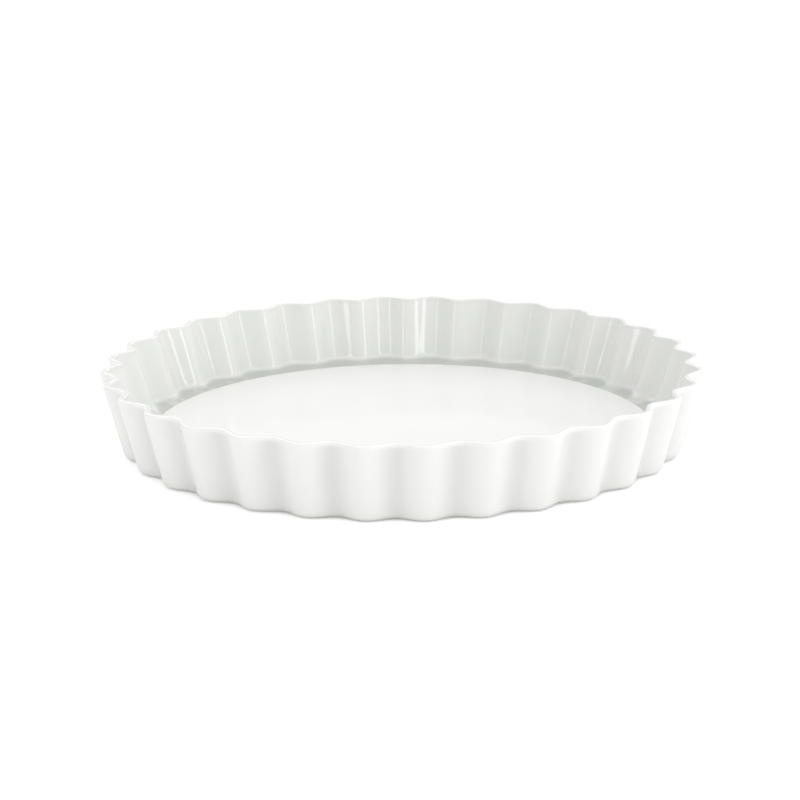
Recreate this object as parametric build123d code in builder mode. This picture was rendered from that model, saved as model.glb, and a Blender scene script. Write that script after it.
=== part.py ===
from build123d import *
import os
from math import atan2, cos, degrees, radians, sqrt, tan

# A round quiche dish of glazed porcelain, 28 cm across, with a fluted wall that flares to the rim.
# Millimetres, +Z up. The origin is the middle of the foot, on the surface that the dish stands on.
# Lobes of the wall lie on the X and Y axes, and the radius of a slice is measured over its lobes.

# The dish as a whole
rim_diameter = 280.0
base_diameter = 262.0
height = 36.0

# Flutes of the wall, from valley to lobe
flute_count = 32
rim_flute_depth = 5.6
base_flute_depth = 4.0
lobe_flats = 4
valley_flats = 3

# Lower corner of the wall
corner_rise = 3.6
corner_reach = 3.2

# Rim and inner wall
lip_width = 3.4
lip_bevel_share = 0.3
base_wall_width = 5.5
inner_foot_flute_depth = 4.8

# Flat floor, and the cove that climbs from it to the inner wall
floor_height = 4.4
cove_reach = 8.0
cove_angle = 16.0
cove_sides = 64

# Bare foot ring, whose sides slope down to the flat that it stands on
foot_setback = 13.4
foot_width = 2.4
foot_height = 0.6
foot_side_angle = 35.0

# Glaze on everything but the foot ring
glaze_thickness = 0.4

# Values that follow from these
rim_radius = rim_diameter / 2
base_radius = base_diameter / 2
inner_foot_radius = base_radius - base_wall_width
floor_radius = inner_foot_radius - cove_reach
foot_radius = base_radius - foot_setback
lip_bevel = lip_width * lip_bevel_share
lip_level = height - lip_bevel
foot_root = (foot_height + floor_height) / 2
half_pitch_angle = 180 / flute_count


def steepness(radius, depth):
    """Slope in degrees of a straight line from the lobe to the valley of a slice."""
    return degrees(atan2(depth, radius * radians(half_pitch_angle)))


# All flanks have one slope. It is steeper than a straight line from lobe to valley at the rim,
# and less than twice as steep as one at the base, where the arcs would touch and leave no flank.
flank_slope = steepness(rim_radius, rim_flute_depth) / 2 + steepness(base_radius, base_flute_depth)


def slice_corners(level, radius, depth):
    """Corners of a fluted slice, in which straight flanks join an arc on each lobe and valley.

    The arcs are cut into even flats. Their radius is the one at which a flank of the shared
    slope touches both, so a flank or flat is parallel to those above and below it, and the
    wall between two slices is made of flat faces.
    """
    lobe_turn = flank_slope + half_pitch_angle / 2
    valley_turn = flank_slope - half_pitch_angle / 2
    lobe_cosine = cos(radians(lobe_turn))
    valley_cosine = cos(radians(valley_turn))
    arc_radius = (radius - depth) * valley_cosine - radius * lobe_cosine
    arc_radius /= 2 - valley_cosine - lobe_cosine
    lobe_centre = Vector(radius - arc_radius, 0, level)
    valley_centre = Vector(radius - depth + arc_radius, 0, level).rotate(Axis.Z, half_pitch_angle)
    spoke = Vector(arc_radius, 0)
    flute = []
    for step in range(lobe_flats + 1):
        turn = lobe_turn * (2 * step / lobe_flats - 1)
        flute.append(lobe_centre + spoke.rotate(Axis.Z, turn))
    for step in range(valley_flats + 1):
        turn = valley_turn * (1 - 2 * step / valley_flats)
        flute.append(valley_centre - spoke.rotate(Axis.Z, half_pitch_angle + turn))
    return turned_copies(flute, flute_count)


def polygon_corners(level, radius):
    """Corners of a slice with the straight sides of the cove, one of them on the X axis."""
    return turned_copies([Vector(radius, 0, level)], cove_sides)


def turned_copies(corners, count):
    """The corners, repeated round the axis."""
    turns = [360 / count * copy for copy in range(count)]
    return [corner.rotate(Axis.Z, turn) for turn in turns for corner in corners]


def faceted_form(slices):
    """Solid with flat ends and a flat face from each side of a slice to the next slice."""
    faces = [Face(Wire.make_polygon(corners)) for corners in (slices[0], slices[-1])]
    for below, above in zip(slices, slices[1:]):
        for side in range(len(below)):
            quad = [below[side - 1], below[side], above[side], above[side - 1]]
            faces.append(Face(Wire.make_polygon(quad)))
    return Solid(Shell(faces))


def outer_slice(level, inset):
    """Height, radius and flute depth on the outer wall, which widens evenly up to the lip."""
    share = (level - foot_height) / (lip_level - foot_height)
    radius = base_radius + (rim_radius - base_radius) * share
    depth = base_flute_depth + (rim_flute_depth - base_flute_depth) * share
    return level, radius - inset, depth


def inner_slice(level, inset):
    """Height, radius and flute depth on the inner wall, which widens evenly up to the lip."""
    share = (level - floor_height) / (lip_level - floor_height)
    radius = inner_foot_radius + (rim_radius - lip_width - inner_foot_radius) * share
    depth = inner_foot_flute_depth + (rim_flute_depth - inner_foot_flute_depth) * share
    return level, radius + inset, depth


def outside(inset):
    """Solid that fills the outside of the dish, an inset below its surface."""
    mitre = inset * (sqrt(2) - 1)
    corner = outer_slice(foot_height + corner_rise + inset, inset)
    lip = outer_slice(lip_level - mitre, inset)
    slices = [
        (foot_height + inset, corner[1] - corner_reach, corner[2]),
        corner,
        lip,
        (height - inset, rim_radius - lip_bevel - mitre, lip[2]),
    ]
    return faceted_form([slice_corners(*one) for one in slices])


def inside(inset):
    """Solid that fills the baking space, from an inset below its surface."""
    mitre = inset * (sqrt(2) - 1)
    lip = inner_slice(lip_level - mitre, inset)
    rim = (height - inset, rim_radius - lip_width + lip_bevel + mitre, lip[2])
    foot = inner_slice(floor_height - inset, inset)
    cove_rise = (rim_radius - floor_radius) * tan(radians(cove_angle))
    cove = [
        polygon_corners(floor_height - inset, floor_radius + inset),
        polygon_corners(floor_height - inset + cove_rise, rim_radius + inset),
        polygon_corners(height - inset, rim_radius + inset),
    ]
    with BuildPart() as space:
        add(faceted_form([slice_corners(*one) for one in (foot, lip, rim)]))
        add(faceted_form(cove), mode=Mode.INTERSECT)
    return space.part


with BuildPart() as porcelain_body:
    add(outside(glaze_thickness))
    add(inside(glaze_thickness), mode=Mode.SUBTRACT)
    with BuildSketch(Plane.XZ):
        with BuildLine():
            outer_side = PolarLine((foot_radius, 0), foot_root, 90 - foot_side_angle)
            inner_side = PolarLine((foot_radius - foot_width, 0), foot_root, 90 + foot_side_angle)
            Line(outer_side @ 0, inner_side @ 0)
            Line(outer_side @ 1, inner_side @ 1)
        make_face()
    revolve(axis=Axis.Z)
porcelain_body.part.label = "porcelain_body"

with BuildPart() as glaze_coat:
    add(outside(0))
    add(inside(0), mode=Mode.SUBTRACT)
    add(porcelain_body.part, mode=Mode.SUBTRACT)
    with BuildSketch(Plane.XY.offset(foot_height)):
        Circle(foot_radius - foot_width / 2)
    extrude(amount=glaze_thickness, mode=Mode.SUBTRACT)
glaze_coat.part.label = "glaze_coat"

with BuildPart() as base_glaze:
    with BuildSketch(Plane.XY.offset(foot_height)):
        Circle(foot_radius - foot_width / 2)
    extrude(amount=glaze_thickness)
    add(porcelain_body.part, mode=Mode.SUBTRACT)
base_glaze.part.label = "base_glaze"

os.makedirs("parts", exist_ok=True)
export_step(porcelain_body.part, "parts/porcelain_body.step")
export_step(glaze_coat.part, "parts/glaze_coat.step")
export_step(base_glaze.part, "parts/base_glaze.step")
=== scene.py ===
"""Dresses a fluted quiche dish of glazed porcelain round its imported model, and lights it."""

from math import cos, pi, radians, sin

import bpy
import numpy as np
from bpy.props import FloatProperty, FloatVectorProperty, IntProperty, PointerProperty
from mathutils import Matrix, Vector


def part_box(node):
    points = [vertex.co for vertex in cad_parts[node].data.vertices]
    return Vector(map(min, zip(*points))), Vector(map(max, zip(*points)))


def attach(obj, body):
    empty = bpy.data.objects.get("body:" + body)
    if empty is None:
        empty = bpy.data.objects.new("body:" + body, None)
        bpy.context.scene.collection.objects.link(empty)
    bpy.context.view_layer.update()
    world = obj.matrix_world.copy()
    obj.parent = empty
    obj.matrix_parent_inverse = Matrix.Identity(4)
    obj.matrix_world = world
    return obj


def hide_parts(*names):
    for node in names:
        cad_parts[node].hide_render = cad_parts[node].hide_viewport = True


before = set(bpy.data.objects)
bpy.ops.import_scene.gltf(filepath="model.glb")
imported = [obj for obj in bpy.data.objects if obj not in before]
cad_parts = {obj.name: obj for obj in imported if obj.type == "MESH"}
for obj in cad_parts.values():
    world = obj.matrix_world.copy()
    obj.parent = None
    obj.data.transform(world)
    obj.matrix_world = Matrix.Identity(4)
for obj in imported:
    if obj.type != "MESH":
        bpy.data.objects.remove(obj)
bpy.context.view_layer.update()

bl_info = {
    "name": "Fluted quiche dish",
    "version": (1, 0, 0),
    "blender": (4, 5, 0),
    "location": "3D View > Sidebar > Dish",
    "description": "Makes the glaze, the porcelain and the studio of a fluted quiche dish",
    "category": "Object",
}

COAT_LOW, COAT_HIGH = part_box("glaze_coat")
BASE_LOW, BASE_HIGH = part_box("base_glaze")
PHOTO_SIZE = 800


def length(name, description, default):
    """A length that shows in the panel, in metres."""
    return FloatProperty(name=name, description=description, default=default, min=0, unit="LENGTH",
                         subtype="DISTANCE", precision=5)


def colour(name, description, default):
    """A colour that shows in the panel."""
    return FloatVectorProperty(name=name, description=description, default=default, min=0, max=1,
                               subtype="COLOR")


class DishSizes(bpy.types.PropertyGroup):
    """Sizes of the dish. Radii are over the lobes of the wall, and heights are from the table."""

    flute_count: IntProperty(name="Flutes", description="Lobes round the wall", default=32, min=3)
    columns_per_flute: IntProperty(name="Columns", description="Mesh columns on each flute",
                                   default=18, min=8)
    rim_radius: length("Rim radius", "Radius of the wall at the lip", COAT_HIGH.x)
    base_radius: length("Base radius", "Radius that the outer wall has at the underside", 0.131)
    height: length("Height", "Top of the lip", COAT_HIGH.z)
    underside: length("Underside", "Height of the glazed underside", COAT_LOW.z)
    rim_flute_depth: length("Flute depth at the rim", "Valley to lobe at the lip", 0.0056)
    base_flute_depth: length("Flute depth at the base", "Valley to lobe at the underside", 0.0040)
    corner_rise: length("Corner rise", "Height of the round lower corner", 0.0040)
    corner_reach: length("Corner reach", "Width of the round lower corner", 0.0034)
    lip_width: length("Lip width", "Width of the wall at the lip", 0.0034)
    lip_edge: length("Lip edge", "Size of the two round edges of the lip", 0.0013)
    base_wall_width: length("Wall width at the base", "Outer wall to inner wall, both carried down",
                            0.0055)
    inner_flute_depth: length("Inner flute depth", "Valley to lobe at the foot of the inner wall",
                              0.0048)
    floor_height: length("Floor height", "Top of the flat floor", 0.0044)
    floor_radius: length("Floor radius", "Edge of the flat floor, where the cove starts", 0.1175)
    cove_slope: FloatProperty(name="Cove slope", description="Climb of the cove to its width",
                              default=0.30, min=0)
    cove_fillet: length("Cove fillet", "Size of the bend from the cove to the inner wall", 0.0022)
    foot_radius: length("Foot radius", "Outer edge of the flat of the foot ring", 0.1176)
    foot_width: length("Foot width", "Width of the flat of the foot ring", 0.0024)
    glaze_thickness: length("Glaze thickness", "Thickness of the glaze", BASE_HIGH.z - BASE_LOW.z)
    unevenness: length("Unevenness", "Height of the soft ripples left by glazing and firing",
                       0.00006)


class DishFinish(bpy.types.PropertyGroup):
    """Colours and gloss of the two materials."""

    glaze: colour("Glaze", "Colour of the glaze where it is thin", (0.885, 0.885, 0.868))
    clouded_glaze: colour("Clouded glaze", "Colour of the faint clouds in the glaze",
                          (0.855, 0.862, 0.842))
    # Painted shade: a dark colour for the cove, where shade falls in the crease between the floor
    # and the wall.
    cove_shade: colour("Pooled glaze", "Colour where the glaze has run thick in the cove",
                         (0.53, 0.545, 0.51))
    # Painted shade: a darker colour for the inner wall, which is less lit than the outer wall.
    inner_wall_shade: colour("Lining glaze", "Colour where more glaze has stayed on the inner wall",
                         (0.775, 0.785, 0.76))
    # Painted shade: a darker colour at the bottoms of the outer valleys, where shade falls.
    valley_shade: colour("Valley glaze", "Colour where more glaze has stayed in the outer valleys",
                         (0.775, 0.783, 0.765))
    speck: colour("Specks", "Colour of the few specks in the glaze", (0.62, 0.60, 0.56))
    glaze_roughness: FloatProperty(name="Glaze roughness", description="Roughness of clean glaze",
                                   default=0.05, min=0, max=1)
    biscuit: colour("Biscuit", "Colour of the bare fired porcelain", (0.80, 0.775, 0.735))
    ground_biscuit: colour("Ground biscuit", "Colour of the ground flat of the foot ring",
                           (0.70, 0.68, 0.65))


class StudioSettings(bpy.types.PropertyGroup):
    """Light, floor and view of the studio."""

    low_sky: FloatProperty(name="Low sky", description="Strength of the sky at the horizon",
                           default=0.91, min=0)
    high_sky: FloatProperty(name="High sky", description="Strength of the sky overhead",
                            default=0.68, min=0)
    right_sky: FloatProperty(name="Right sky", description="Added strength low on the right",
                             default=0.50, min=0)
    overhead_light: FloatProperty(name="Overhead lamp", description="Radiance of the lamp overhead",
                                  default=0.85, min=0)
    back_light: FloatProperty(name="Back lamp", description="Radiance of the lamp behind the dish",
                              default=1.2, min=0)
    right_light: FloatProperty(name="Right lamp", description="Radiance of the lamp on the right",
                               default=3.8, min=0)
    left_light: FloatProperty(name="Left lamp", description="Radiance of the lamp on the left",
                              default=3.0, min=0)
    floor_colour: colour("Floor", "Colour of the floor", (0.96, 0.96, 0.96))
    view_turn: FloatProperty(name="View turn", description="Turn of the camera round the dish",
                             default=radians(-4.07), subtype="ANGLE")
    view_elevation: FloatProperty(name="View elevation", description="Camera above the horizon",
                                  default=radians(15.36), subtype="ANGLE")
    view_roll: FloatProperty(name="View roll", description="Lean of the camera",
                             default=radians(-0.56), subtype="ANGLE")
    view_distance: length("View distance", "Camera to the middle of the view", 1.12)


class Wire:
    """An output socket. Python's operators on it add Math nodes to its tree."""

    def __init__(self, nodes, socket):
        self.nodes = nodes
        self.socket = socket

    def __add__(self, other):
        return self.nodes.maths("ADD", self, other)

    def __sub__(self, other):
        return self.nodes.maths("SUBTRACT", self, other)

    def __rsub__(self, other):
        return self.nodes.maths("SUBTRACT", other, self)

    def __mul__(self, other):
        return self.nodes.maths("MULTIPLY", self, other)

    def __truediv__(self, other):
        return self.nodes.maths("DIVIDE", self, other)

    def __pow__(self, other):
        return self.nodes.maths("POWER", self, other)

    __radd__ = __add__
    __rmul__ = __mul__


class Nodes:
    """The node tree of a material or of the world, emptied."""

    def __init__(self, owner):
        owner.use_nodes = True
        self.tree = owner.node_tree
        self.tree.nodes.clear()

    def add(self, kind, settings=None, inputs=None):
        """A node of a kind, with its settings set first and then its sockets' values or links."""
        node = self.tree.nodes.new(kind)
        for name, value in (settings or {}).items():
            setattr(node, name, value)
        for key, value in (inputs or {}).items():
            if isinstance(value, Wire):
                self.tree.links.new(value.socket, node.inputs[key])
            else:
                node.inputs[key].default_value = value
        return node

    def wire(self, kind, settings=None, inputs=None, output=0):
        """One output of a new node."""
        return Wire(self, self.add(kind, settings, inputs).outputs[output])

    def maths(self, operation, *values):
        """One Math node."""
        return self.wire("ShaderNodeMath", {"operation": operation}, dict(enumerate(values)))

    def place(self):
        """The surface point's x, y and z in metres, and the whole vector."""
        vector = self.wire("ShaderNodeTexCoord", output="Object")
        parts = self.add("ShaderNodeSeparateXYZ", inputs={0: vector})
        return [Wire(self, parts.outputs[axis]) for axis in range(3)] + [vector]

    def noise(self, vector, scale, detail=2.0):
        """Soft noise from 0 to 1, with about that many features to the metre."""
        return self.wire("ShaderNodeTexNoise", inputs={"Vector": vector, "Scale": scale,
                                                       "Detail": detail})

    def step(self, value, low, high):
        """0 below the low value, 1 above the high one and a smooth climb between them."""
        return self.wire("ShaderNodeMapRange", {"interpolation_type": "SMOOTHSTEP"},
                         {"Value": value, "From Min": low, "From Max": high})

    def blend(self, share, first, second):
        """The first colour at 0, the second at 1."""
        return self.wire("ShaderNodeMix", {"data_type": "RGBA"},
                         {0: share, 6: first, 7: second}, output=2)

    def bump(self, height, distance, normal=None):
        """Normals of a relief whose height of 0 to 1 stands for that distance in metres."""
        inputs = {"Height": height, "Distance": distance, "Strength": 1.0}
        if normal:
            inputs["Normal"] = normal
        return self.wire("ShaderNodeBump", inputs=inputs)

    def finish(self, shader, kind="ShaderNodeOutputMaterial"):
        """Ends the tree in its output."""
        self.add(kind, inputs={"Surface": shader})


def opaque(rgb):
    """A colour with its alpha."""
    return (*rgb, 1.0)


def run(start, end, rows):
    """Rows of a straight line in (radius, height, flute depth), without its first point."""
    share = np.linspace(0, 1, rows + 1)[1:, None]
    return np.array(start) * (1 - share) + np.array(end) * share


def bend(start, corner, end, rows):
    """Rows of a parabola that leaves the start towards the corner and reaches the end from it.

    A point at share t is (1 - t)^2 start + 2 t (1 - t) corner + t^2 end, without the first one.
    """
    share = np.linspace(0, 1, rows + 1)[1:, None]
    first = np.array(start) * (1 - share) + np.array(corner) * share
    second = np.array(corner) * (1 - share) + np.array(end) * share
    return first * (1 - share) + second * share


# Half the width of the bend from the floor into the cove
COVE_SOFTENING = 0.0005

# Distance from the flat of the foot ring to the end of the glaze outside it
GLAZE_STOP = 0.0010

# Mesh rows of the glazed surface, from the middle of the floor to the foot ring
FLOOR_ROWS = 12
FLOOR_EDGE_ROWS = 4
COVE_ROWS = 6
COVE_FILLET_ROWS = 8
WALL_ROWS = 10
LIP_EDGE_ROWS = 7
LIP_TOP_ROWS = 2
CORNER_ROWS = 8
UNDERSIDE_ROWS = 6


def skin(sizes, inset):
    """Rows of (radius over the lobes, height, flute depth) along the glazed surface of the dish.

    They run from the middle of the floor over the cove, the inner wall, the lip, the outer wall
    and the lower corner to the foot ring, an inset below the surface. The radius and the flute
    depth of each wall change evenly with height, and parabolas join the straight lines.
    """
    lip_level = sizes.height - sizes.lip_edge
    wall_height = lip_level - sizes.underside
    outer_slope = (sizes.rim_radius - sizes.base_radius) / wall_height
    outer_fade = (sizes.rim_flute_depth - sizes.base_flute_depth) / wall_height

    def outer(level):
        """Row of the outer wall at a height."""
        rise = level - sizes.underside
        radius = sizes.base_radius + outer_slope * rise - inset
        return radius, level, sizes.base_flute_depth + outer_fade * rise

    inner_height = lip_level - sizes.floor_height
    inner_foot = sizes.base_radius - sizes.base_wall_width
    inner_slope = (sizes.rim_radius - sizes.lip_width - inner_foot) / inner_height
    inner_fade = (sizes.rim_flute_depth - sizes.inner_flute_depth) / inner_height

    def inner(level):
        """Row of the inner wall at a height."""
        rise = level - sizes.floor_height
        radius = inner_foot + inner_slope * rise + inset
        return radius, level, sizes.inner_flute_depth + inner_fade * rise

    floor_level = sizes.floor_height - inset
    edge = sizes.floor_radius + inset
    reach = inner_foot + inset - edge
    cove_depth = sizes.inner_flute_depth * (1 - sizes.cove_fillet / reach)
    foot_level = floor_level + sizes.cove_slope * reach
    floor_edge = (edge - COVE_SOFTENING, floor_level, 0)
    cove_start = (edge + COVE_SOFTENING, floor_level + sizes.cove_slope * COVE_SOFTENING, 0)
    cove_end = (inner_foot + inset - sizes.cove_fillet,
                foot_level - sizes.cove_slope * sizes.cove_fillet, cove_depth)
    wall_foot = inner(foot_level)
    wall_start = inner(foot_level + sizes.cove_fillet)

    lip_start = inner(lip_level)
    lip_end = outer(lip_level)
    lip_top = sizes.height - inset
    edge_size = sizes.lip_edge - inset
    inner_edge = (lip_start[0], lip_top, lip_start[2])
    inner_top = (lip_start[0] + edge_size, lip_top, lip_start[2])
    outer_top = (lip_end[0] - edge_size, lip_top, lip_end[2])
    outer_edge = (lip_end[0], lip_top, lip_end[2])

    hem_level = sizes.underside + inset
    corner_top = outer(sizes.underside + sizes.corner_rise)
    corner_point = outer(hem_level)
    hem = (corner_top[0] - sizes.corner_reach, hem_level, corner_top[2])
    glaze_end = (sizes.foot_radius + GLAZE_STOP, hem_level, 0)
    return np.vstack([
        run((0, floor_level, 0), floor_edge, FLOOR_ROWS),
        bend(floor_edge, (edge, floor_level, 0), cove_start, FLOOR_EDGE_ROWS),
        run(cove_start, cove_end, COVE_ROWS),
        bend(cove_end, wall_foot, wall_start, COVE_FILLET_ROWS),
        run(wall_start, lip_start, WALL_ROWS),
        bend(lip_start, inner_edge, inner_top, LIP_EDGE_ROWS),
        run(inner_top, outer_top, LIP_TOP_ROWS),
        bend(outer_top, outer_edge, lip_end, LIP_EDGE_ROWS),
        run(lip_end, corner_top, WALL_ROWS),
        bend(corner_top, corner_point, hem, CORNER_ROWS),
        run(hem, glaze_end, UNDERSIDE_ROWS),
    ])


def turned_surface(name, rows, ends, sizes):
    """Mesh object of a profile turned about the axis, fluted and closed at a pole on each end.

    The radius at an angle is that of the row, less its flute depth times (1 - cos(n angle)) / 2
    for n flutes. With radius to the right and height up, the surface's outer side is on the left
    of the rows as they run. Soft ripples move each point inwards along its radius.
    """
    columns = sizes.flute_count * sizes.columns_per_flute
    angle = np.linspace(0, 2 * pi, columns, endpoint=False)
    wave = (1 - np.cos(sizes.flute_count * angle)) / 2
    radius = rows[:, :1] - rows[:, 2:] * wave
    level = np.repeat(rows[:, 1:2], columns, axis=1)
    path = np.cumsum(np.linalg.norm(np.diff(rows[:, :2], axis=0, prepend=rows[:1, :2]), axis=1))
    radius = radius + sizes.unevenness * (ripples(angle, path) - 1)
    points = np.stack([radius * np.cos(angle), radius * np.sin(angle), level], axis=-1)
    points = np.vstack([points.reshape(-1, 3), [(0, 0, end) for end in ends]])

    row, column = np.meshgrid(np.arange(len(rows) - 1), np.arange(columns), indexing="ij")
    here = (row * columns + column).ravel()
    beside = (row * columns + (column + 1) % columns).ravel()
    quads = np.stack([here, here + columns, beside + columns, beside], axis=-1)
    first = np.arange(columns)
    after = (first + 1) % columns
    last = (len(rows) - 1) * columns
    first_pole = np.stack([np.full(columns, len(points) - 2), first, after], axis=-1)
    last_pole = np.stack([np.full(columns, len(points) - 1), last + after, last + first], axis=-1)

    mesh = bpy.data.meshes.new(name)
    faces = quads.tolist() + first_pole.tolist() + last_pole.tolist()
    mesh.from_pydata(points.tolist(), [], faces)
    mesh.validate()
    mesh.shade_smooth()
    piece = bpy.data.objects.new(name, mesh)
    bpy.context.scene.collection.objects.link(piece)
    return piece


# Ripples: the seed of their chance, how many cosines, their waves round the axis, and their
# lengths along the profile
RIPPLE_SEED = 7
RIPPLE_COUNT = 12
RIPPLES_AROUND = (9, 75)
RIPPLE_LENGTHS = (0.012, 0.05)


def ripples(angle, path):
    """Ripples of a surface, from about -1 to 1, at angles round the axis and lengths along it.

    They are a sum of cosines, each with a whole number of waves round the axis.
    """
    chance = np.random.default_rng(RIPPLE_SEED)
    total = np.zeros((len(path), len(angle)))
    for _ in range(RIPPLE_COUNT):
        around = chance.integers(*RIPPLES_AROUND)
        along = 2 * pi / chance.uniform(*RIPPLE_LENGTHS)
        start = chance.uniform(0, 2 * pi)
        total += np.cos(around * angle + along * path[:, None] + start)
    return total / RIPPLE_COUNT**0.5 / 2


# Refractive index of both materials, and the middle of a noise that runs from 0 to 1
REFRACTION = 1.5
NOISE_MIDDLE = 0.5

# Patterns of the glaze: features to the metre and detail of each noise, and what it does
CLOUDS = (22.0, 3.0)
CLOUD_LEVELS = (0.35, 0.75)
CLOUD_SHARE = 0.5
HAZE = (60.0, 4.0)
HAZE_ROUGHNESS = 0.05
PEEL = (260.0, 1.0)
PEEL_DEPTH = 0.000012

# Specks: cells to the metre, a speck's edge in its cell, and the cells that have one
SPECK_CELLS = 130.0
SPECK_EDGE = (0.02, 0.04)
SPECK_PICK = (0.93, 0.95)
SPECK_SHARE = 0.5

# Painted shade in the cove between the floor and the wall: soft edge, outer radius, and heights of
# both ends
COVE_BLUR = 0.0006
COVE_OUT = 0.1272
COVE_LOW_END = (0.0030, 0.0036)
COVE_HIGH_END = (0.0058, 0.0078)

# A surface in the middle of the fluted wall, with the painted shade of the inner wall inside it:
# its radius over the lobes at the table, its growth with height, its soft edge, and the heights
# where the painted shade starts
WALL_MIDDLE = 0.1275
WALL_LEAN = 0.31
WALL_BLUR = 0.0004
INNER_SHADE_START = (0.0046, 0.0090)

# The painted shade in the outer valleys: the power of the flutes' wave that it follows, and the
# heights between which it ends below the lip
VALLEY_POWER = 2.0
VALLEY_END = (0.0335, 0.0350)


def glaze_material(sizes, finish):
    """Glossy white glaze, with specks and a faint orange peel, and with painted shade in the cove,
    on the inner wall and in the outer valleys.

    The flutes' wave is (1 - cos(n angle)) / 2 for n flutes: 0 on the lobes, 1 in the valleys.
    """
    material = bpy.data.materials.new("glaze")
    nodes = Nodes(material)
    x, y, z, place = nodes.place()
    radius = (x * x + y * y) ** 0.5
    # Painted shade in the cove: a ring from the floor's edge to the foot of the wall.
    cove = nodes.step(radius, sizes.floor_radius, sizes.floor_radius + COVE_BLUR)
    cove = cove * (1 - nodes.step(radius, COVE_OUT - COVE_BLUR, COVE_OUT))
    cove = cove * nodes.step(z, *COVE_LOW_END) * (1 - nodes.step(z, *COVE_HIGH_END))
    turn = nodes.maths("ARCTAN2", y, x)
    wave = (1 - nodes.maths("COSINE", turn * sizes.flute_count)) / 2
    middle = radius + wave * sizes.rim_flute_depth - WALL_MIDDLE - z * WALL_LEAN
    outside = nodes.step(middle, -WALL_BLUR, WALL_BLUR)
    # Painted shade on the inner wall, above the cove.
    inner_shade = (1 - outside) * nodes.step(z, *INNER_SHADE_START)
    # Painted shade in the outer valleys of the flutes.
    valley = outside * wave ** VALLEY_POWER * (1 - nodes.step(z, *VALLEY_END))
    cells = nodes.add("ShaderNodeTexVoronoi", {"feature": "F1"},
                      {"Vector": place, "Scale": SPECK_CELLS})
    near = 1 - nodes.step(Wire(nodes, cells.outputs["Distance"]), *SPECK_EDGE)
    cell = nodes.add("ShaderNodeSeparateColor", inputs={0: Wire(nodes, cells.outputs["Color"])})
    specks = near * nodes.step(Wire(nodes, cell.outputs[0]), *SPECK_PICK)
    clouds = nodes.step(nodes.noise(place, *CLOUDS), *CLOUD_LEVELS)
    colour_now = nodes.blend(clouds * CLOUD_SHARE, opaque(finish.glaze),
                             opaque(finish.clouded_glaze))
    colour_now = nodes.blend(valley, colour_now, opaque(finish.valley_shade))
    colour_now = nodes.blend(inner_shade, colour_now, opaque(finish.inner_wall_shade))
    colour_now = nodes.blend(cove, colour_now, opaque(finish.cove_shade))
    colour_now = nodes.blend(specks * SPECK_SHARE, colour_now, opaque(finish.speck))
    haze = nodes.noise(place, *HAZE) - NOISE_MIDDLE
    shader = nodes.wire("ShaderNodeBsdfPrincipled", inputs={
        "Base Color": colour_now,
        "Roughness": finish.glaze_roughness + haze * HAZE_ROUGHNESS,
        "Normal": nodes.bump(nodes.noise(place, *PEEL), PEEL_DEPTH),
        "IOR": REFRACTION})
    nodes.finish(shader)
    return material


# The ground flat of the foot fades out between two heights
GROUND_HEIGHTS = (0.00002, 0.00012)

# Grain of the biscuit and rings from grinding: features to the metre, detail and depth
GRAIN = (2400.0, 3.0)
GRAIN_DEPTH = 0.00006
RINGS = (6000.0, 2.0)
RING_DEPTH = 0.00008
RING_SHARE = 0.7

# Roughness of the biscuit, how much smoother it is ground, and how much the grain changes it
BISCUIT_ROUGHNESS = 0.82
GROUND_SMOOTHNESS = 0.2
GRAIN_ROUGHNESS = 0.12


def biscuit_material(finish):
    """Bare fired porcelain: matt and grainy, ground in rings on the flat of the foot."""
    material = bpy.data.materials.new("biscuit")
    nodes = Nodes(material)
    x, y, z, place = nodes.place()
    radius = (x * x + y * y) ** 0.5
    ground = 1 - nodes.step(z, *GROUND_HEIGHTS)
    grain = nodes.noise(place, *GRAIN)
    rings = nodes.wire("ShaderNodeTexNoise", {"noise_dimensions": "1D"},
                       {"W": radius, "Scale": RINGS[0], "Detail": RINGS[1]})
    ring_colour = ground * (1 - RING_SHARE + RING_SHARE * rings)
    roughness = BISCUIT_ROUGHNESS - ground * GROUND_SMOOTHNESS
    shader = nodes.wire("ShaderNodeBsdfPrincipled", inputs={
        "Base Color": nodes.blend(ring_colour, opaque(finish.biscuit),
                                  opaque(finish.ground_biscuit)),
        "Roughness": roughness + (grain - NOISE_MIDDLE) * GRAIN_ROUGHNESS,
        "Normal": nodes.bump(ground * rings, RING_DEPTH, nodes.bump(grain, GRAIN_DEPTH)),
        "IOR": REFRACTION})
    nodes.finish(shader)
    return material


def dress(piece, material, node):
    """Gives a piece its material and its place in the frame, where it stands for a node."""
    piece.data.materials.append(material)
    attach(piece, "root")
    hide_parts(node)


class DISH_OT_glaze_coat(bpy.types.Operator):
    """Makes the glaze on the inside, the lip, the outer wall and the underside"""

    bl_idname = "dish.glaze_coat"
    bl_label = "Glaze coat"

    def execute(self, context):
        sizes = context.scene.dish_sizes
        outer = skin(sizes, 0)
        under = skin(sizes, sizes.glaze_thickness)
        rows = np.vstack([outer, under[::-1]])
        ends = (sizes.floor_height, sizes.floor_height - sizes.glaze_thickness)
        piece = turned_surface("glazed_surface", rows, ends, sizes)
        dress(piece, glaze_material(sizes, context.scene.dish_finish), "glaze_coat")
        return {"FINISHED"}


# Gap that keeps the body's skin off the glaze
BODY_CLEARANCE = 0.00002

# Foot ring: how far its sides lean out for their height, and the size of its soft edges
FOOT_SIDE_SLOPE = 0.7
FOOT_SOFTENING = 0.00015

# Mesh rows of the foot ring and of the recess inside it, and the recess's smallest ring
FOOT_SIDE_ROWS = 2
FOOT_EDGE_ROWS = 4
FOOT_FLAT_ROWS = 4
RECESS_TOP_ROWS = 8
RECESS_FACE_ROWS = 10
LAST_RING = 0.005


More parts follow.
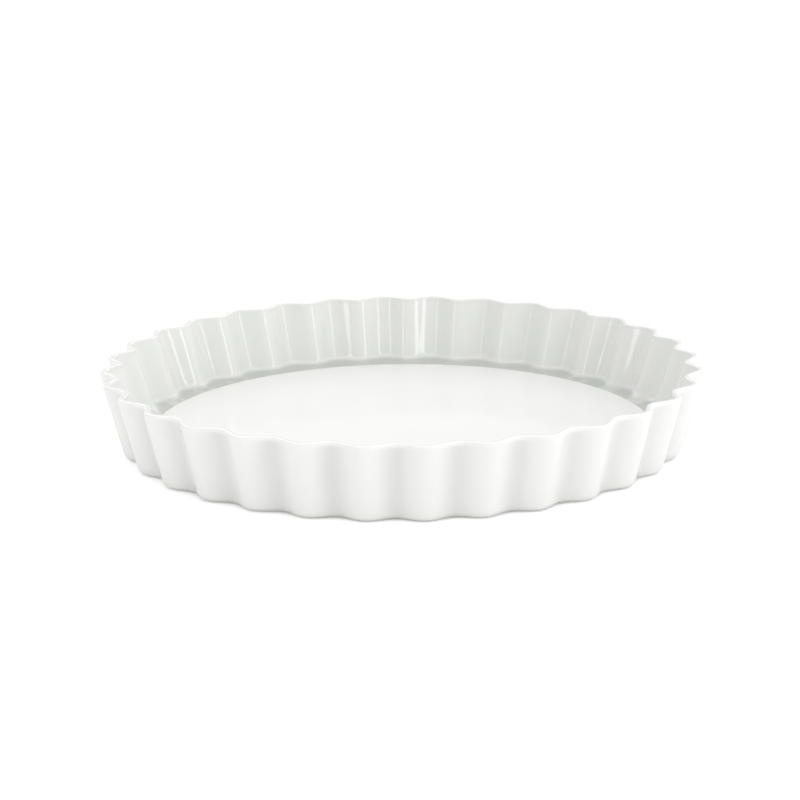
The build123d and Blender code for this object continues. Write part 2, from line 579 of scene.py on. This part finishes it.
class DISH_OT_porcelain_body(bpy.types.Operator):
    """Makes the fired body under the glaze, with its bare foot ring"""

    bl_idname = "dish.porcelain_body"
    bl_label = "Porcelain body"

    def execute(self, context):
        sizes = context.scene.dish_sizes
        inset = sizes.glaze_thickness + BODY_CLEARANCE
        roof = sizes.underside + inset
        outer = sizes.foot_radius
        inner = outer - sizes.foot_width
        root_reach = FOOT_SIDE_SLOPE * sizes.underside
        outer_root = (outer + root_reach, sizes.underside, 0)
        inner_root = (inner - root_reach, sizes.underside, 0)
        inner_roof = (inner - FOOT_SIDE_SLOPE * roof, roof, 0)
        outer_edge = ((outer + FOOT_SOFTENING, FOOT_SOFTENING, 0), (outer - FOOT_SOFTENING, 0, 0))
        inner_edge = ((inner + FOOT_SOFTENING, 0, 0), (inner - FOOT_SOFTENING, FOOT_SOFTENING, 0))
        rows = np.vstack([
            skin(sizes, inset),
            [outer_root],
            run(outer_root, outer_edge[0], FOOT_SIDE_ROWS),
            bend(outer_edge[0], (outer, 0, 0), outer_edge[1], FOOT_EDGE_ROWS),
            run(outer_edge[1], inner_edge[0], FOOT_FLAT_ROWS),
            bend(inner_edge[0], (inner, 0, 0), inner_edge[1], FOOT_EDGE_ROWS),
            run(inner_edge[1], inner_root, FOOT_SIDE_ROWS),
            [inner_roof],
            run(inner_roof, (LAST_RING, roof, 0), RECESS_TOP_ROWS),
        ])
        ends = (sizes.floor_height - inset, roof)
        piece = turned_surface("biscuit_body", rows, ends, sizes)
        dress(piece, biscuit_material(context.scene.dish_finish), "porcelain_body")
        return {"FINISHED"}


class DISH_OT_base_glaze(bpy.types.Operator):
    """Makes the glaze in the recess inside the foot ring"""

    bl_idname = "dish.base_glaze"
    bl_label = "Base glaze"

    def execute(self, context):
        sizes = context.scene.dish_sizes
        edge = BASE_HIGH.x
        top = sizes.underside + sizes.glaze_thickness
        top_edge = edge - FOOT_SIDE_SLOPE * sizes.glaze_thickness - BODY_CLEARANCE
        under = sizes.underside
        rows = np.vstack([
            run((0, top, 0), (top_edge, top, 0), RECESS_TOP_ROWS),
            run((top_edge, top, 0), (edge, under, 0), FOOT_SIDE_ROWS),
            run((edge, under, 0), (LAST_RING, under, 0), RECESS_FACE_ROWS),
        ])
        piece = turned_surface("recess_glaze", rows, (top, under), sizes)
        dress(piece, glaze_material(sizes, context.scene.dish_finish), "base_glaze")
        return {"FINISHED"}


def soft_lamp(name, turn, elevation, distance, size, radiance):
    """A rectangular lamp that faces the dish from a turn about it, 0 being the camera's side."""
    lamp = bpy.data.lights.new(name, "AREA")
    lamp.shape = "RECTANGLE"
    lamp.size, lamp.size_y = size
    lamp.energy = radiance * pi * size[0] * size[1]
    place = Vector((0, -cos(elevation), sin(elevation))) * distance
    place.rotate(Matrix.Rotation(turn, 3, "Z"))
    holder = bpy.data.objects.new(name, lamp)
    holder.location = place
    holder.rotation_euler = place.to_track_quat("Z", "Y").to_euler()
    bpy.context.scene.collection.objects.link(holder)


# Each lamp's turn round the dish and height above the horizon in degrees, distance and size
LAMPS = {
    "overhead": (0, 90, 1.3, (1.1, 1.1)),
    "back": (180, 40, 1.4, (1.4, 0.8)),
    "right": (52, 27, 1.3, (0.20, 0.9)),
    "left": (-52, 27, 1.3, (0.15, 0.9)),
}

# Sky: where its low part fades into its high part, and where its right side grows stronger
SKY_CLIMB = (0.0, 0.9)
SKY_RIGHT = (0.0, 0.8)

# Floor: half its width, and how far its own glow whitens it for the camera
FLOOR_HALF = 8.0
FLOOR_GLOW = 0.30

# Camera: the middle of its view, its sensor's width and its focal length in the photo's pixels
VIEW_MIDDLE = (-0.00116, 0, 0.0177)
SENSOR_WIDTH = 36.0
FOCAL_PIXELS = 2396.0


class DISH_OT_studio(bpy.types.Operator):
    """Makes the floor, the soft light and the camera"""

    bl_idname = "dish.studio"
    bl_label = "Studio"

    def execute(self, context):
        studio = context.scene.dish_studio
        self.floor(studio)
        self.sky(studio)
        self.lamps(studio)
        self.camera(studio)
        context.scene.view_settings.view_transform = "Standard"
        return {"FINISHED"}

    def floor(self, studio):
        """Makes the pale floor, which the camera sees through from below."""
        mesh = bpy.data.meshes.new("floor")
        half = FLOOR_HALF
        corners = [(-half, -half, 0), (half, -half, 0), (half, half, 0), (-half, half, 0)]
        mesh.from_pydata(corners, [], [(0, 1, 2, 3)])
        floor = bpy.data.objects.new("floor", mesh)
        bpy.context.scene.collection.objects.link(floor)
        material = bpy.data.materials.new("floor")
        nodes = Nodes(material)
        paint = nodes.wire("ShaderNodeBsdfDiffuse", inputs={"Color": opaque(studio.floor_colour)})
        glow = nodes.wire("ShaderNodeEmission", inputs={"Strength": FLOOR_GLOW})
        seen = nodes.wire("ShaderNodeLightPath", output="Is Camera Ray")
        nothing = nodes.wire("ShaderNodeEmission", inputs={"Strength": 0.0})
        glow = nodes.wire("ShaderNodeMixShader", inputs={0: seen, 1: nothing, 2: glow})
        lit = nodes.wire("ShaderNodeAddShader", inputs={0: paint, 1: glow})
        below = nodes.wire("ShaderNodeNewGeometry", output="Backfacing")
        clear = nodes.wire("ShaderNodeBsdfTransparent")
        nodes.finish(nodes.wire("ShaderNodeMixShader", inputs={0: below * seen, 1: lit, 2: clear}))
        mesh.materials.append(material)

    def sky(self, studio):
        """Makes the soft light from all round, which the camera sees as plain white."""
        world = bpy.data.worlds.new("sky")
        bpy.context.scene.world = world
        nodes = Nodes(world)
        direction = nodes.add("ShaderNodeSeparateXYZ", inputs={
            0: nodes.wire("ShaderNodeTexCoord", output="Generated")})
        high = nodes.step(Wire(nodes, direction.outputs[2]), *SKY_CLIMB)
        right = nodes.step(Wire(nodes, direction.outputs[0]), *SKY_RIGHT)
        low = studio.low_sky + studio.right_sky * right
        level = low * (1 - high) + studio.high_sky * high
        seen = nodes.wire("ShaderNodeLightPath", output="Is Camera Ray")
        strength = seen + (1 - seen) * level
        background = nodes.wire("ShaderNodeBackground", inputs={"Strength": strength,
                                                                "Color": opaque((1, 1, 1))})
        nodes.finish(background, "ShaderNodeOutputWorld")

    def lamps(self, studio):
        """Makes the lamps that the glaze mirrors."""
        for name, (turn, elevation, distance, size) in LAMPS.items():
            radiance = getattr(studio, name + "_light")
            soft_lamp(name, radians(turn), radians(elevation), distance, size, radiance)

    def camera(self, studio):
        """Makes the camera, with the photo's view of the dish."""
        elevation = studio.view_elevation
        back = Vector((0, -cos(elevation), sin(elevation)))
        eye = Vector(VIEW_MIDDLE) + studio.view_distance * back
        level_right = Vector((1, 0, 0))
        level_up = Vector((0, sin(elevation), cos(elevation)))
        roll = studio.view_roll
        right = cos(roll) * level_right + sin(roll) * level_up
        up = cos(roll) * level_up - sin(roll) * level_right
        place = Matrix((right, up, back)).transposed().to_4x4()
        place.translation = eye
        data = bpy.data.cameras.new("camera")
        data.sensor_width = SENSOR_WIDTH
        data.lens = FOCAL_PIXELS * SENSOR_WIDTH / PHOTO_SIZE
        camera = bpy.data.objects.new("camera", data)
        camera.matrix_world = Matrix.Rotation(studio.view_turn, 4, "Z") @ place
        bpy.context.scene.collection.objects.link(camera)
        bpy.context.scene.camera = camera


class DISH_PT_panel(bpy.types.Panel):
    """Lists the sizes, the finish, the studio and what makes them"""

    bl_idname = "DISH_PT_panel"
    bl_label = "Fluted dish"
    bl_space_type = "VIEW_3D"
    bl_region_type = "UI"
    bl_category = "Dish"

    def draw(self, context):
        for group_name, group in GROUPS.items():
            box = self.layout.box()
            for name in group.__annotations__:
                box.prop(getattr(context.scene, group_name), name)
        for operator in OPERATORS:
            self.layout.operator(operator.bl_idname)


GROUPS = {"dish_sizes": DishSizes, "dish_finish": DishFinish, "dish_studio": StudioSettings}
OPERATORS = (DISH_OT_studio, DISH_OT_glaze_coat, DISH_OT_porcelain_body, DISH_OT_base_glaze)


def register():
    """Adds the settings, the operators and the panel."""
    for name, group in GROUPS.items():
        bpy.utils.register_class(group)
        setattr(bpy.types.Scene, name, PointerProperty(type=group))
    for part in (*OPERATORS, DISH_PT_panel):
        bpy.utils.register_class(part)


def unregister():
    """Takes them away again."""
    for part in (DISH_PT_panel, *reversed(OPERATORS)):
        bpy.utils.unregister_class(part)
    for name, group in GROUPS.items():
        delattr(bpy.types.Scene, name)
        bpy.utils.unregister_class(group)


def main():
    """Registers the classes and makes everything."""
    register()
    bpy.ops.dish.studio()
    bpy.ops.dish.glaze_coat()
    bpy.ops.dish.porcelain_body()
    bpy.ops.dish.base_glaze()


if __name__ == "__main__":
    main()
